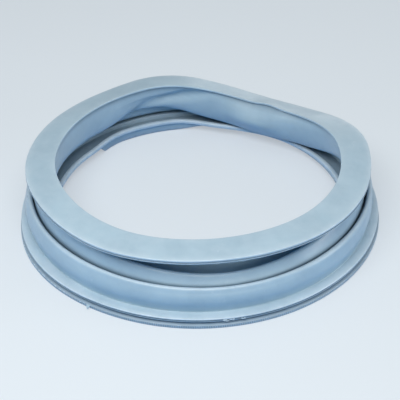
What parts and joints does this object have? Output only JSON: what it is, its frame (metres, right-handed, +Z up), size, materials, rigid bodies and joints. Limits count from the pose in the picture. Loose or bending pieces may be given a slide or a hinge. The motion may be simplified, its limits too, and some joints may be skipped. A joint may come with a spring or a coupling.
{
  "type": "washing machine door seal",
  "caption": "Round moulded rubber door seal with a wide flat lip, folded bellows wall, grooved base flange and beaded inner rim, lying on its flange with one side pressed in.",
  "frame": {"origin": "on the ring's axis, at the flat underside of the base flange", "axes": "+Z up along the ring's axis from the base flange to the door lip, -Y towards the front, +X to the right"},
  "size_m": [0.3492, 0.3516, 0.0679],
  "materials": {
    "grey_rubber": "light grey moulded EPDM rubber, satin, slightly blue"
  },
  "bodies": {
    "root": {"door_seal": "grey_rubber"}
  },
  "joints": []
}
